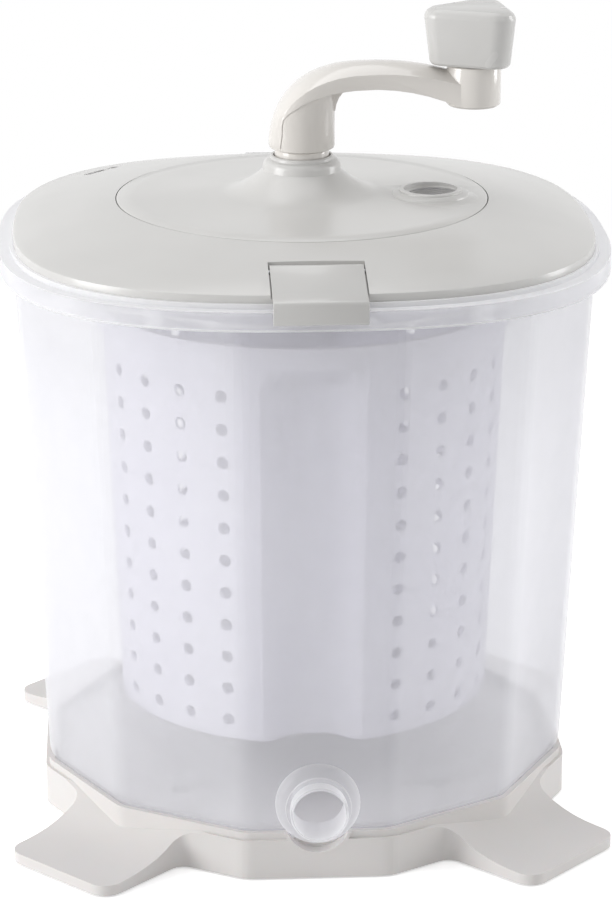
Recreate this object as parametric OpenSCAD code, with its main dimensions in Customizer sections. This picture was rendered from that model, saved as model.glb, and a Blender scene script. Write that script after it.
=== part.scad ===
// Hand-cranked washing machine: a perforated basket turns inside a frosted tub when the crank is wound.
// Millimetres, +Z up, front at -Y, origin on the ground under the basket's axis.

/* [Tub] */
// Width of the flange outside the tub's wall
flange_w = 8.9; // [7:0.1:12]
// Half width across the tub's flats, just above the base
tub_foot = 149.8; // [146:0.2:154]
// Height of the flange's top face
flange_z = 333.7; // [325:0.1:345]
// Half width of the flange
flange_half = 172.5; // [170:0.5:180]
// Squareness of the flange's and cover's outline, where 2 is a circle
outline_n = 2.66; // [2.2:0.02:3.2]
// Wall thickness of the tub
tub_t = 2.5; // [2:0.1:3.5]
// Height of the flange's raised rim round the cover
flange_rim = 2.7; // [1:0.1:3]
// Depth of the flange's turned-down lip
lip_h = 10.6; // [8:0.1:12]
// Radius of the tub's softened corners
tub_corner_r = 26; // [10:1:40]

/* [Drain spout] */
// Height of the spout's centre line
spout_z = 46; // [44:0.5:60]
// Radius of the spout's bore
spout_bore_r = 14.7; // [8:0.1:15.2]
// Wall of the spout
spout_t = 1.3; // [1:0.1:2.5]
// Distance from the axis to the spout's mouth
spout_reach = 168.7; // [164:0.1:172]
// Radius of the round boss behind the spout
spout_boss_r = 23.6; // [19:0.1:24]

/* [Base] */
// Half width of the base across its flats on the ground
base_foot = 152.4; // [152:0.2:160]
// Height of the base's rim
base_h = 28; // [26:0.5:34]
// Wall thickness of the base
base_t = 3; // [2:0.1:3.5]
// Reach of each paddle foot from the axis
paddle_reach = 206.5; // [190:0.5:215]
// Width of each paddle foot
paddle_w = 79; // [60:1:84]
// Height of a paddle foot at its outer end
paddle_h = 6.2; // [6:0.1:9]
// Height to which the rubber pads lift the base
pad_lift = 1; // [0.5:0.1:3]
// Radius of a rubber pad
pad_r = 11; // [8:0.5:15]

/* [Cover] */
// Distance from the flange's edge in to the cover
cover_in = 8.5; // [7:0.1:12]
// Height of the cover's upper edge above the flange
cover_edge = 6.8; // [6:0.1:10]
// Rise of the dome from the edge to the round hatch
dome_rise = 14; // [8:0.1:18]
// Radius of the round hatch
hatch_r = 105.3; // [104:0.1:110]
// Gap between the hatch and the cover
hatch_gap = 0.6; // [0.4:0.1:1.2]
// Wall thickness of the cover
cover_t = 2.5; // [2:0.1:3]
// Width of a latch
latch_w = 50; // [40:1:60]
// Distance from the cover's edge in to a latch's hinge pin
latch_run = 31; // [28:0.5:34]
// Thickness of a latch
latch_t = 2.4; // [1.8:0.1:2.6]

/* [Hatch] */
// Rise of the hatch from its edge to the foot of its neck
hatch_rise = 2.6; // [2:0.1:8]
// Height of the neck that holds the crank bush
neck_h = 21.2; // [18:0.1:26]
// Outer radius of the neck's lip
neck_r = 18; // [17.5:0.1:22]
// Distance from the axis to the water inlet
inlet_y = 73; // [72:0.5:74]
// Angle of the water inlet from the crank's rest direction
inlet_a = -8; // [-14:1:14]
// Radius of the water inlet's bore
inlet_r = 15.2; // [8:0.1:16]
// Height of the inlet's lip above the hatch
inlet_h = 3.9; // [3:0.1:8]

/* [Crank] */
// Radius of the crank from the axis to the knob
crank_r = 97; // [85:0.1:98]
// Radius of the crank's post
post_r = 18.6; // [16:0.1:20]
// Height of the arm's upper edge at its crown above the bottom of the post
arm_h = 43.8; // [38:0.1:50]
// Depth of the arm's side at its crown
arm_t = 8.5; // [6:0.1:11]
// Rise of the arm's rounded top over its edges
arm_arch = 5.5; // [2:0.1:7]
// Width of the arm at its crown
arm_w = 29; // [20:0.5:32]
// Radius of the knob's boss
boss_r = 15.4; // [12:0.1:16]
// Height of the knob
knob_h = 32; // [24:0.5:40]
// Width of the knob at its top
knob_w = 50; // [40:0.5:56]
// Radius of the crank shaft
shaft_r = 6; // [5:0.1:7]

/* [Gears] */
// Gear module
gear_m = 1.8; // [1.6:0.05:1.9]
// Width of the teeth
gear_w = 10; // [8:0.5:12]
// Pressure angle of the teeth
gear_pa = 25; // [22:1:27]
// Backlash of each flank, along the pitch circle
backlash = 0.14; // [0.1:0.01:0.2]

/* [Basket] */
// Radius of the basket under its rim
basket_top_r = 117.6; // [112:0.2:122]
// Radius of the basket at its foot
basket_foot_r = 109.6; // [100:0.2:112]
// Height of the basket's underside
basket_z = 62; // [60:0.5:70]
// Height of the basket's upper edge
basket_top_z = 298; // [285:0.5:300]
// Wall thickness of the basket
basket_t = 2.2; // [1.8:0.1:2.8]
// Depth of the four flutes
flute_d = 14.5; // [8:0.5:17]
// Rows of holes in each panel
hole_rows = 11; // [6:1:12]
// Radius of a hole in the panels
hole_r = 3.65; // [2:0.05:3.8]
// Radius of the centre column at its foot
column_r = 33; // [30:0.5:34]

/* [Hidden] */
$fn = 64;

sides = 12;
half_side = 180 / sides;
fit = 0.06;
seat = 0.05;
play = 0.3;
over = 1;

base_z = pad_lift;
base_rim = base_foot - 2.1;
base_corner_r = 18;
deck_t = 3;
rebate = 6;
rib_t = 2;
rib_ring_r = 34;
deck_z = base_h - rebate;
paddle_corner_r = 11;
paddle_rise = 16.8;
root_fillet = 9;
pad_in = 28.5;
pad_d = paddle_reach - pad_in;
pad_stem_r = 3;
pad_boss_z = base_z + 2.6;
pad_stem_z = pad_boss_z + 2.6;
base_notch_r = spout_boss_r - 5.6;
base_notch_z = spout_z - 11.5;

tub_top = flange_half - flange_w;
cover_half = flange_half - cover_in;
tub_floor_z = deck_z + play;
floor_t = 3;
tub_seat = base_rim - base_t - play;
shoulder_z = base_h + 3;
screw_d = 105;
tub_screw_r = 6;
screw_r = 1.95;
base_screw_l = 10;
housing_screw_l = 12;
column_screw_l = 13;
spindle_r = 5;
spindle_boss_r = 15;
spindle_boss_z = 47;
plate_t = 2.5;
lip_t = 2.3;
gusset_h = 13;
gusset_t = 2;
catch_z = flange_z - 2.2;
catch_d = 0.6;

gasket_t = 0.9;
cover_z = flange_z + gasket_t;
edge_z = flange_z + cover_edge;
dome_half = cover_half - 2.4;
hole_r2 = hatch_r + hatch_gap;
dome_top = edge_z + dome_rise;
ledge_w = 7.5;
ledge_t = 2.5;
ledge_in = hole_r2 - ledge_w;
hatch_gasket_t = 1;
hatch_edge_t = 2.9;
hatch_z = dome_top - hatch_edge_t;
ledge_z = hatch_z - hatch_gasket_t - 0.1;
spigot_r = ledge_in - 0.6;
spigot_t = 2.2;
spigot_h = 7;
key_w = 8;
key_in = 4;
key_n = 3;

notch_half = latch_w / 2 + 0.8;
barrel_r = 3.9;
barrel_gap = 0.5;
latch_pin_y = cover_half - latch_run;
latch_pin_r = 1.3;
latch_pin_z = dome_z(latch_pin_y) - barrel_r;
latch_in = flange_half + catch_d + play;
latch_out = latch_in + latch_t - 0.2;
latch_low = flange_z - 6.4;
pin_bury = 2;
slot_a = 137;
slot_d = cover_half - 9;
slot_w = 29;
slot_h = 6;
slot_tab = 5;

neck_z = dome_top + hatch_rise;
lip_z = neck_z + neck_h;
flare_w = 28;
bell_r = neck_r + 4;
bell_z = lip_z - 8.3;
bush_step_z = lip_z - 6.1;
bush_low_r = shaft_r + 7;
bush_top_r = neck_r - 2.5;
bush_low_z = dome_top - 3.2;
post_z = lip_z + 4;
inlet_x = inlet_y * cos(inlet_a);
inlet_v = inlet_y * sin(inlet_a);
inlet_t = 2.7;
inlet_flare = 12;
inlet_z = hatch_top(inlet_y) + inlet_h;
inlet_low = hatch_z - 7;

arm_x = 42;
arm_boss_w = 25;
arm_proud = 0.9;
arm_foot_proud = 0.6;
arm_start_z = post_z + 2;
arm_curve = 2 / 2.75;
arm_edge_in = 2.2;
arm_under_in = 0.6;
arm_edge_drop = 0.0031;
arm_top_drop = 0.0034;
arm_under_drop = 0.0045;
crown_z = post_z + arm_h;
boss_low = crown_z - 20.5;
boss_top = crown_z + 2.8;
shaft_in = 19;
knob_z = boss_top + 0.6;
knob_taper = 2.4;
knob_lobe_r = 11;
knob_turn = 186;
knob_pin_r = 3.5;
knob_pin_head = 6;

sun_teeth = 15;
planet_teeth = sun_teeth;
ring_teeth = sun_teeth + 2 * planet_teeth;
planet_n = 3;
sun_pitch = gear_m * sun_teeth / 2;
ring_pitch = gear_m * ring_teeth / 2;
planet_d = sun_pitch + gear_m * planet_teeth / 2;
addendum = 0.9 * gear_m;
dedendum = 1.2 * gear_m;
ring_out = ring_pitch + dedendum + 4.2;
web_t = 3;
hub_r = 12;
hub_top = bush_low_z - play;
ring_web_z = hub_top - 10;
ring_pin_z = hub_top - 3.5;
ring_pin_r = 1.5;
gear_top = ring_web_z - 1;
gear_z = gear_top - gear_w;
housing_in = ring_out + 0.8;
housing_t = 2.5;
housing_out = housing_in + housing_t;
housing_floor = 3;
housing_z = gear_z - 6;
lug_d = housing_out + 5.6;
lug_r = 5;
lug_z = bush_low_z - 7.5;
lug_a = 90;
planet_pin_r = 3;
drive_r = 5;
bush_wall = 3;
drive_bush_low = housing_z - 4;
clip_t = 1.2;
clip_z = drive_bush_low - 0.2 - clip_t;
groove_d = 0.7;
hex_w = 12;
hex_gap = 0.2;
hex_low = basket_top_z - 12;
hex_top = clip_z - 1.5;

column_top = basket_top_z + 2;
column_top_r = 21;
column_t = 2.4;
column_foot_r = column_r + 5;
column_foot_t = 3;
basket_floor_t = 3;
floor_top = basket_z + basket_floor_t;
hub_boss_r = 16;
hub_low = basket_z - 8;
hub_bush_r = spindle_r + 4;
hub_flange_t = 3;
washer_t = 2.5;
column_screw_d = 25;
column_boss_h = 13;
rim_h = 13;
rim_out = 1.8;
rim_z = basket_top_z - rim_h;
runout = 11;
flute_half = 14.6;
flute_flat = 5.5;
facet_a = 13 / 3;
panel_facets = 14;
hole_columns = [-19.5, -6.5, 6.5, 19.5];
hole_low_z = basket_z + 13;
hole_top_z = rim_z - 17;

tub_colour = [0.93, 0.94, 0.98, 0.35];
basket_colour = [0.95, 0.95, 0.97];
base_colour = [0.87, 0.87, 0.85];
cover_colour = [0.85, 0.85, 0.84];
crank_colour = [0.92, 0.90, 0.87];
knob_colour = [0.85, 0.85, 0.84];
steel = [0.72, 0.73, 0.75];
rubber = [0.35, 0.35, 0.36];
gear_colour = [0.90, 0.89, 0.84];

// Height of the dome over a distance from the axis, along a centre line
function dome_z(p) = dome_top - (dome_rise - 1) * pow(max(p - hole_r2, 0) / (dome_half - hole_r2), 1.12);

// Height of the hatch's top face over a distance from the axis
function hatch_top(r) = dome_top + hatch_rise * pow((hatch_r - r) / (hatch_r - neck_r - flare_w), 0.95);

// Radius of a twelve-sided outline with rounded corners, near a corner
function corner_r(flat, q, off) =
    let (d = (flat - q) / cos(half_side)) d * cos(off) + sqrt(q * q - pow(d * sin(off), 2));

// One level of the tub or base: a twelve-sided ring with rounded corners
function ring12(flat, q, z) =
    let (
        spread = half_side - atan((flat - q) * tan(half_side) / flat),
        offs = [for (j = [-1.5 : 1 : 1.5]) j * spread / 1.5]
    )
    [
        for (k = [0 : sides - 1], off = offs)
        let (a = 2 * half_side * k + half_side + off, r = corner_r(flat, q, off))
        [r * cos(a), r * sin(a), z]
    ];

// One level of the cover or flange: a ring between a circle and a square
function squircle(half, n, z) =
    [
        for (i = [0 : 95])
        let (
            a = i * 360 / 96,
            r = half * pow(pow(abs(cos(a)), n) + pow(abs(sin(a)), n), -1 / n)
        )
        [r * cos(a), r * sin(a), z]
    ];

function flat_ring(ring) = [for (p = ring) [p[0], p[1]]];

// How far the outline is squared at a distance from the axis on the dome
function dome_n(p) = 2 + (outline_n - 2) * max(0, (p - hole_r2) / (cover_half - hole_r2));

function dome_ring(p, drop) = squircle(p, dome_n(p), dome_z(p) - drop);

// Smooth step from 0 to 1
function ease(t) = let (u = min(max(t, 0), 1)) u * u * (3 - 2 * u);

// One level of the basket: four convex panels with a flute between each two
function basket_ring(r, flute, z) =
    let (
        edge = panel_facets * facet_a / 2,
        flutes = [for (j = [-3.5 : 1 : 3.5]) j * (45 - edge) / 4.5]
    )
    [
        for (q = [0 : 3])
        let (turns = concat(
            [for (j = flutes) 90 * q + j],
            [for (j = [0 : panel_facets]) 90 * q + 45 - edge + j * facet_a]
        ))
        for (a = turns)
        let (
            off = abs((a + 45) % 90 - 45),
            dip = flute * ease((flute_half - off) / (flute_half - flute_flat))
        )
        [(r - dip) * cos(a), (r - dip) * sin(a), z]
    ];

// A solid skin over a stack of rings, with flat ends or joined end to end
module loft(rings, closed = false) {
    n = len(rings[0]);
    m = len(rings);
    skin = [
        for (j = [0 : m - (closed ? 1 : 2)], i = [0 : n - 1])
        let (
            a = j * n + i,
            b = j * n + (i + 1) % n,
            c = (j + 1) % m * n + (i + 1) % n,
            d = (j + 1) % m * n + i
        )
        each [[a, c, b], [a, d, c]]
    ];
    ends = closed ? [] : [[for (i = [0 : n - 1]) i], [for (i = [n - 1 : -1 : 0]) (m - 1) * n + i]];
    polyhedron([for (r = rings) each r], concat(skin, ends));
}

// A profile drawn as distance to the front and height, extruded sideways
module sideways(w) {
    rotate([90, 0, -90])
        linear_extrude(w, center = true)
            children();
}

// Twelve-sided base with four paddle feet
module ground_outline(grow) {
    offset(delta = grow)
        offset(r = -root_fillet, $fn = 32)
            offset(r = root_fillet, $fn = 32)
                union() {
                    polygon(flat_ring(ring12(base_foot, base_corner_r, 0)));
                    for (k = [0 : 3])
                        rotate(45 + 90 * k)
                            paddle_outline();
                }
}

module paddle_outline() {
    c = paddle_corner_r;
    translate([0, -paddle_w / 2])
        square([paddle_reach - c, paddle_w]);
    translate([0, -paddle_w / 2 + c])
        square([paddle_reach, paddle_w - 2 * c]);
    for (s = [-1, 1])
        translate([paddle_reach - c, s * (paddle_w / 2 - c)])
            circle(c, $fn = 32);
}

// Sloping space under a paddle's top face, which curves up to meet the base
module paddle_wedge(drop) {
    root = base_foot - 10;
    run = paddle_reach - root;
    top = [
        for (j = [0 : 8])
        let (t = j / 8)
        [root + run * t, paddle_h + paddle_rise * pow(1 - t, 3) - drop]
    ];
    rotate([90, 0, 0])
        linear_extrude(2 * paddle_reach, center = true)
            polygon(concat([[0, -over], [paddle_reach + over, -over], [paddle_reach + over, paddle_h - drop]],
                [for (j = [8 : -1 : 0]) top[j]], [[0, top[0][1]]]));
}

module feet(grow, drop) {
    intersection() {
        linear_extrude(base_h)
            ground_outline(grow);
        union() {
            for (k = [0 : 3])
                intersection() {
                    rotate(45 + 90 * k)
                        paddle_wedge(drop);
                    rotate(90 * k)
                        cube([2 * paddle_reach, 2 * paddle_reach, base_h]);
                }
        }
    }
}

module screw_places(d) {
    for (k = [0 : 3])
        rotate(45 + 90 * k)
            translate([d, 0, 0])
                children();
}

module base() {
    color(base_colour)
        difference() {
            union() {
                translate([0, 0, base_z])
                    difference() {
                        union() {
                            loft([
                                ring12(base_foot, base_corner_r, 0),
                                ring12(base_rim + 0.4, base_corner_r, base_h * 0.6),
                                ring12(base_rim, base_corner_r, base_h - base_z)
                            ]);
                            feet(0, 0);
                        }
                        loft([
                            ring12(base_foot - base_t, base_corner_r - base_t, -over),
                            ring12(base_rim - base_t, base_corner_r - base_t, deck_z - deck_t - base_z)
                        ]);
                        feet(-base_t, base_t);
                    }
                translate([0, 0, pad_boss_z])
                    screw_places(pad_d)
                        cylinder(r = pad_stem_r + 2.5, h = paddle_h + base_z - pad_boss_z);
                spout_notch_edge();
                deck_ribs();
            }
            loft([
                ring12(base_rim - base_t, base_corner_r - base_t, deck_z),
                ring12(base_rim - base_t, base_corner_r - base_t, base_h + over)
            ]);
            screw_places(screw_d)
                cylinder(r = tub_screw_r + play, h = base_h);
            screw_places(pad_d)
                cylinder(r = pad_stem_r + seat, h = pad_stem_z + play);
            translate([0, -tub_seat + 2, base_notch_z])
                rotate([90, 0, 0])
                    cylinder(r = base_notch_r, h = 20);
        }
}

// Ribs under the deck, one to the middle of each side
module deck_ribs() {
    low = base_z + 6;
    for (k = [0 : sides - 1])
        rotate(2 * half_side * k)
            translate([rib_ring_r, -rib_t / 2, low])
                cube([base_rim - base_t / 2 - rib_ring_r, rib_t, deck_z - deck_t / 2 - low]);
    translate([0, 0, low])
        difference() {
            cylinder(r = rib_ring_r + rib_t, h = deck_z - deck_t / 2 - low);
            translate([0, 0, -over])
                cylinder(r = rib_ring_r, h = base_h);
        }
}

// Raised edge and closed back of the notch that the spout's boss drops into
module spout_notch_edge() {
    intersection() {
        translate([0, 0, base_notch_z])
            rotate([90, 0, 0])
                union() {
                    cylinder(r = base_notch_r + 2.5, h = base_rim - 1);
                    cylinder(r = base_notch_r + 1.8, h = base_foot + 0.2);
                }
        union() {
            translate([-paddle_w / 2, -base_foot - 2, base_z])
                cube([paddle_w, base_t + 3, base_h - base_z]);
            translate([-paddle_w / 2, -base_foot, base_z])
                cube([paddle_w, base_foot - tub_seat + 5, deck_z - base_z]);
        }
    }
}

module foot_pads() {
    color(rubber)
        screw_places(pad_d) {
            cylinder(r = pad_r, h = pad_boss_z);
            cylinder(r = pad_stem_r, h = pad_stem_z);
        }
}

module base_screws() {
    head_z = deck_z - deck_t;
    color(steel)
        screw_places(screw_d) {
            translate([0, 0, head_z - 2.4])
                cylinder(r = tub_screw_r + 2, h = 2.4);
            translate([0, 0, head_z - 1])
                cylinder(r = screw_r, h = base_screw_l);
        }
}

// Wall outline of the tub at a height, measured at the outer face
function wall_half(z) = tub_foot + (tub_top - tub_foot) * (z - shoulder_z) / (flange_z - shoulder_z);

module tub_shell() {
    q = tub_corner_r;
    loft([
        ring12(tub_seat - 3, q, tub_floor_z),
        ring12(tub_seat, q, tub_floor_z + 2.5),
        ring12(tub_seat, q, base_h + 1),
        ring12(tub_foot - 0.8, q, shoulder_z),
        ring12(wall_half(shoulder_z + 3), q, shoulder_z + 3),
        ring12(tub_top, q, flange_z),
        ring12(tub_top - tub_t, q - tub_t, flange_z),
        ring12(tub_foot - tub_t, q - tub_t, shoulder_z + 3),
        ring12(tub_seat - tub_t, q - tub_t, shoulder_z - 1.5),
        ring12(tub_seat - tub_t, q - tub_t, tub_floor_z + floor_t + 2),
        ring12(tub_seat - tub_t - 3, q - tub_t, tub_floor_z + floor_t)
    ]);
}

module flange() {
    difference() {
        translate([0, 0, flange_z - plate_t])
            linear_extrude(plate_t)
                polygon(flat_ring(squircle(flange_half, outline_n, 0)));
        translate([0, 0, flange_z - plate_t - over])
            linear_extrude(plate_t + 2 * over)
                polygon(flat_ring(ring12(tub_top - tub_t / 2, tub_corner_r, 0)));
    }
    translate([0, 0, flange_z - lip_h])
        linear_extrude(lip_h)
            difference() {
                polygon(flat_ring(squircle(flange_half, outline_n, 0)));
                polygon(flat_ring(squircle(flange_half - lip_t, outline_n, 0)));
            }
    translate([0, 0, flange_z - 0.5])
        linear_extrude(flange_rim + 0.5)
            difference() {
                polygon(flat_ring(squircle(cover_half + 2.1, outline_n, 0)));
                polygon(flat_ring(squircle(cover_half + 0.4, outline_n, 0)));
            }
    for (k = [0 : 1])
        rotate(180 * k)
            sideways(latch_w - 8)
                polygon([
                    [flange_half - 1, catch_z + 2], [flange_half, catch_z + 1.4],
                    [flange_half + catch_d, catch_z], [flange_half, catch_z - 1.4], [flange_half - 1, catch_z - 2]
                ]);
    for (k = [0 : 3], a = [30, 45, 60])
        rotate(90 * k + a - 90)
            gusset(a == 45);
}

// Triangular rib between the wall and the flange
module gusset(at_corner) {
    wall = at_corner ? tub_top / cos(half_side) - 2 : tub_top;
    reach = flange_half * pow(pow(cos(45 - (at_corner ? 0 : 15)), outline_n)
        + pow(sin(45 - (at_corner ? 0 : 15)), outline_n), -1 / outline_n);
    sideways(gusset_t)
        polygon([
            [wall - 1.5, flange_z - plate_t], [wall - 1.5, flange_z - plate_t - gusset_h],
            [wall + 0.3, flange_z - plate_t - gusset_h], [reach - lip_t / 2, flange_z - lip_h + 1],
            [reach - lip_t / 2, flange_z - plate_t]
        ]);
}

module spout() {
    r = spout_bore_r + spout_t;
    wall = wall_half(spout_z) - tub_t;
    translate([0, 0, spout_z])
        rotate([90, 0, 0])
            rotate_extrude()
                polygon([
                    [0, wall + 0.5], [spout_boss_r, wall + 0.5], [spout_boss_r, wall + 4.6],
                    [spout_boss_r - 1, wall + 7.4], [spout_boss_r - 3.2, wall + 9.6], [r + 2.4, wall + 10.8],
                    [r + 2, wall + 12], [r, wall + 12.4], [r, spout_reach - 0.5], [r - 0.5, spout_reach],
                    [0, spout_reach]
                ]);
}

module tub() {
    color(tub_colour)
        difference() {
            union() {
                tub_shell();
                flange();
                spout();
                translate([0, 0, tub_floor_z + 1])
                    cylinder(r = spindle_boss_r, h = spindle_boss_z - tub_floor_z - 1);
                screw_places(screw_d)
                    translate([0, 0, deck_z - deck_t + 0.1])
                        cylinder(r = tub_screw_r, h = 12);
            }
            translate([0, 10 - tub_foot, spout_z])
                rotate([90, 0, 0])
                    cylinder(r = spout_bore_r, h = spout_reach);
            translate([0, 0, tub_floor_z + floor_t + 2])
                cylinder(r = spindle_r + seat, h = spindle_boss_z);
            screw_places(screw_d)
                translate([0, 0, deck_z - deck_t - over])
                    cylinder(r = screw_r + seat, h = 11.2);
        }
}

module spindle_pin() {
    color(steel)
        translate([0, 0, tub_floor_z + floor_t + 2])
            cylinder(r = spindle_r, h = floor_top + 22 - tub_floor_z - floor_t);
}

module thrust_washer() {
    color(steel)
        translate([0, 0, spindle_boss_z])
            difference() {
                cylinder(r = hub_bush_r + 2.5, h = washer_t);
                translate([0, 0, -over])
                    cylinder(r = spindle_r + seat, h = washer_t + 2 * over);
            }
}

// Domed cover with a ledge for the hatch and a pocket for each latch
module cover_shell() {
    lid_in = hole_r2 - 4;
    steps = [for (j = [0 : 4]) dome_half + (lid_in - dome_half) * j / 4];
    loft(concat(
        [
            squircle(cover_half - 0.3, outline_n, cover_z),
            squircle(cover_half, outline_n, edge_z - 1.8),
            squircle(cover_half - 0.6, outline_n, edge_z)
        ],
        [for (p = steps) dome_ring(p, 0)],
        [for (j = [4 : -1 : 0]) dome_ring(steps[j] - (j < 4 ? 1 : 0), cover_t)],
        [squircle(cover_half - cover_t - 0.2, outline_n, cover_z)]
    ), closed = true);
}

module latch_pocket() {
    sideways(2 * notch_half + 5)
        polygon([
            [latch_pin_y - barrel_r - 3.5, dome_z(latch_pin_y - barrel_r - 3.5) - 1.4],
            [latch_pin_y - barrel_r - 3.5, latch_pin_z - barrel_r - 2.6],
            [latch_pin_y + 4, latch_pin_z - barrel_r - 2.6],
            [cover_half - 4, cover_z], [cover_half - 0.4, cover_z],
            [cover_half - 0.4, edge_z - 2.4], [dome_half - 1, edge_z - 1]
        ]);
}

module latch_room() {
    slope = latch_t + 0.4;
    sideways(2 * notch_half) {
        polygon([
            [latch_pin_y - barrel_r - barrel_gap, dome_top + 5],
            [latch_pin_y - barrel_r - barrel_gap, latch_pin_z],
            [latch_pin_y, latch_pin_z],
            [latch_pin_y, dome_z(latch_pin_y) - slope],
            [dome_half, dome_z(dome_half) - slope],
            [latch_in, dome_z(dome_half) - 2.2 - slope],
            [latch_in, dome_top + 5]
        ]);
        translate([latch_pin_y, latch_pin_z])
            circle(barrel_r + barrel_gap);
    }
}

// Two finger slots side by side near the rear left corner, for lifting the cover off
module finger_slots() {
    rotate(slot_a)
        translate([slot_d, 0, edge_z - 4])
            linear_extrude(20)
                difference() {
                    hull()
                        for (k = [-1, 1])
                            translate([0, k * (slot_w - slot_h) / 2])
                                circle(slot_h / 2, $fn = 32);
                    translate([0, -slot_tab])
                        square([slot_h + over, 2.2], center = true);
                }
}

module cover() {
    color(cover_colour)
        difference() {
            union() {
                difference() {
                    cover_shell();
                    translate([0, 0, ledge_z])
                        cylinder(r = hole_r2, h = dome_rise);
                }
                rotate_extrude()
                    polygon([
                        [ledge_in, ledge_z - ledge_t], [hole_r2 + 2.4, ledge_z - ledge_t],
                        [hole_r2 + 2.4, dome_z(hole_r2 + 2.4) - 0.9], [hole_r2, dome_z(hole_r2) - 0.9],
                        [hole_r2, ledge_z], [ledge_in, ledge_z]
                    ]);
                for (k = [0 : key_n - 1])
                    rotate(30 + k * 360 / key_n)
                        translate([ledge_in - key_in, -key_w / 2, ledge_z - ledge_t])
                            cube([key_in + 2, key_w, ledge_t]);
                for (k = [0 : 1])
                    rotate(180 * k)
                        latch_pocket();
                for (k = [0 : 3])
                    rotate(90 * k)
                        translate([tub_top - tub_t - 3.4, -20, flange_z - 7])
                            cube([2.4, 40, edge_z - flange_z + 6.7]);
            }
            for (k = [0 : 1])
                rotate(180 * k) {
                    latch_room();
                    translate([0, -latch_pin_y, latch_pin_z])
                        rotate([0, 90, 0])
                            cylinder(r = latch_pin_r + seat, h = 2 * (notch_half + pin_bury), center = true);
                }
            finger_slots();
        }
}

module cover_gasket() {
    color(rubber)
        translate([0, 0, flange_z])
            linear_extrude(gasket_t)
                difference() {
                    polygon(flat_ring(squircle(cover_half - 0.4, outline_n, 0)));
                    polygon(flat_ring(squircle(cover_half - cover_t, outline_n, 0)));
                }
}

module latch_pins() {
    color(steel)
        for (s = [-1, 1])
            translate([0, s * latch_pin_y, latch_pin_z])
                rotate([0, 90, 0])
                    cylinder(r = latch_pin_r, h = 2 * (notch_half + pin_bury) - 0.2, center = true);
}

// Latch: a plate that follows the dome, a flap over the flange and a barb under the catch
module latch() {
    corner = 2.2;
    top = dome_z(dome_half);
    difference() {
        sideways(latch_w) {
            difference() {
                union() {
                    translate([latch_pin_y, latch_pin_z])
                        circle(barrel_r);
                    polygon([
                        [latch_pin_y, dome_z(latch_pin_y)], [latch_pin_y, dome_z(latch_pin_y) - latch_t],
                        [dome_half, top - latch_t], [latch_in, top - 2.2 - latch_t], [latch_in, latch_low + 3.4],
                        [flange_half + play, latch_low + 2.2], [flange_half + play, latch_low + 1],
                        [flange_half + play + 0.8, latch_low], [latch_out - 0.6, latch_low],
                        [latch_out, latch_low + 0.6], [latch_out, top - 1.6 - corner],
                        [latch_out - 0.35 * corner, top - 1.6 - 0.35 * corner],
                        [latch_out - corner, top - 1.6], [dome_half, top]
                    ]);
                }
                translate([latch_pin_y, latch_pin_z])
                    circle(latch_pin_r + fit);
            }
        }
    }
}

module latch_front() {
    color(cover_colour)
        latch();
}

module latch_rear() {
    color(cover_colour)
        rotate(180)
            latch();
}

// Round hatch with the neck for the crank and the water inlet
module hatch_lid() {
    foot_r = neck_r + flare_w;
    flare = concat(
        [
            for (j = [0 : 7])
            [foot_r + (bell_r - foot_r) * j / 7, neck_z + (bell_z - neck_z) * pow(j / 7, 1.6)]
        ],
        [
            [bell_r, bell_z + 2.6], [bell_r - 0.4, bell_z + 4.2],
            [bell_r - 1.4, bell_z + 5.4], [bell_r - 2.8, bell_z + 6.1],
            [neck_r, bell_z + 6.3], [neck_r, lip_z - 0.6]
        ]
    );
    dish = [for (r = [hatch_r - 0.8, hatch_r - 10, 80, 65, 55]) [r, hatch_top(r)]];
    color(cover_colour)
        difference() {
            union() {
                rotate_extrude()
                    polygon(concat(
                        [[hatch_r, hatch_z], [hatch_r, dome_top - 0.5]],
                        dish,
                        flare,
                        [
                            [neck_r - 0.6, lip_z], [bush_top_r + 0.8, lip_z], [bush_top_r + 0.8, bush_step_z],
                            [bush_low_r + seat, bush_step_z], [bush_low_r + seat, bush_low_z + play],
                            [bush_low_r + 3.5, bush_low_z + play], [bush_low_r + 3.5, neck_z - 3.4],
                            [foot_r, neck_z - 3.4], [80, hatch_top(80) - 2.6],
                            [spigot_r - spigot_t, hatch_top(spigot_r) - 2.6], [spigot_r - spigot_t, hatch_z - spigot_h],
                            [spigot_r, hatch_z - spigot_h], [spigot_r, hatch_z]
                        ]
                    ));
                intersection() {
                    translate([inlet_x, inlet_v, 0])
                        inlet_mound();
                    rotate_extrude()
                        polygon([
                            [0, neck_z - 2.9], [foot_r, neck_z - 2.9], [80, hatch_top(80) - 2.1],
                            [hatch_r - 1, hatch_top(hatch_r - 1) - 1.8], [hatch_r - 1, 2 * inlet_z], [0, 2 * inlet_z]
                        ]);
                }
                translate([inlet_x, inlet_v, inlet_low])
                    cylinder(r = inlet_r + 1.2, h = hatch_top(inlet_y) - inlet_low - 1);
                for (k = [0 : 2])
                    rotate(lug_a + 120 * k)
                        translate([lug_d, 0, lug_z])
                            cylinder(r = lug_r - 0.5, h = neck_z - 2.4 - lug_z);
            }
            translate([inlet_x, inlet_v, inlet_low - over])
                cylinder(r = inlet_r, h = inlet_z);
            for (k = [0 : key_n - 1])
                rotate(30 + k * 360 / key_n)
                    translate([spigot_r - spigot_t - 2, -key_w / 2 - play, hatch_z - spigot_h - over])
                        cube([key_in + 4, key_w + 2 * play, spigot_h + over - 0.2]);
            for (k = [0 : 2])
                rotate(lug_a + 120 * k)
                    translate([lug_d, 0, lug_z - over])
                        cylinder(r = 1.65, h = 9);
        }
}

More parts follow.
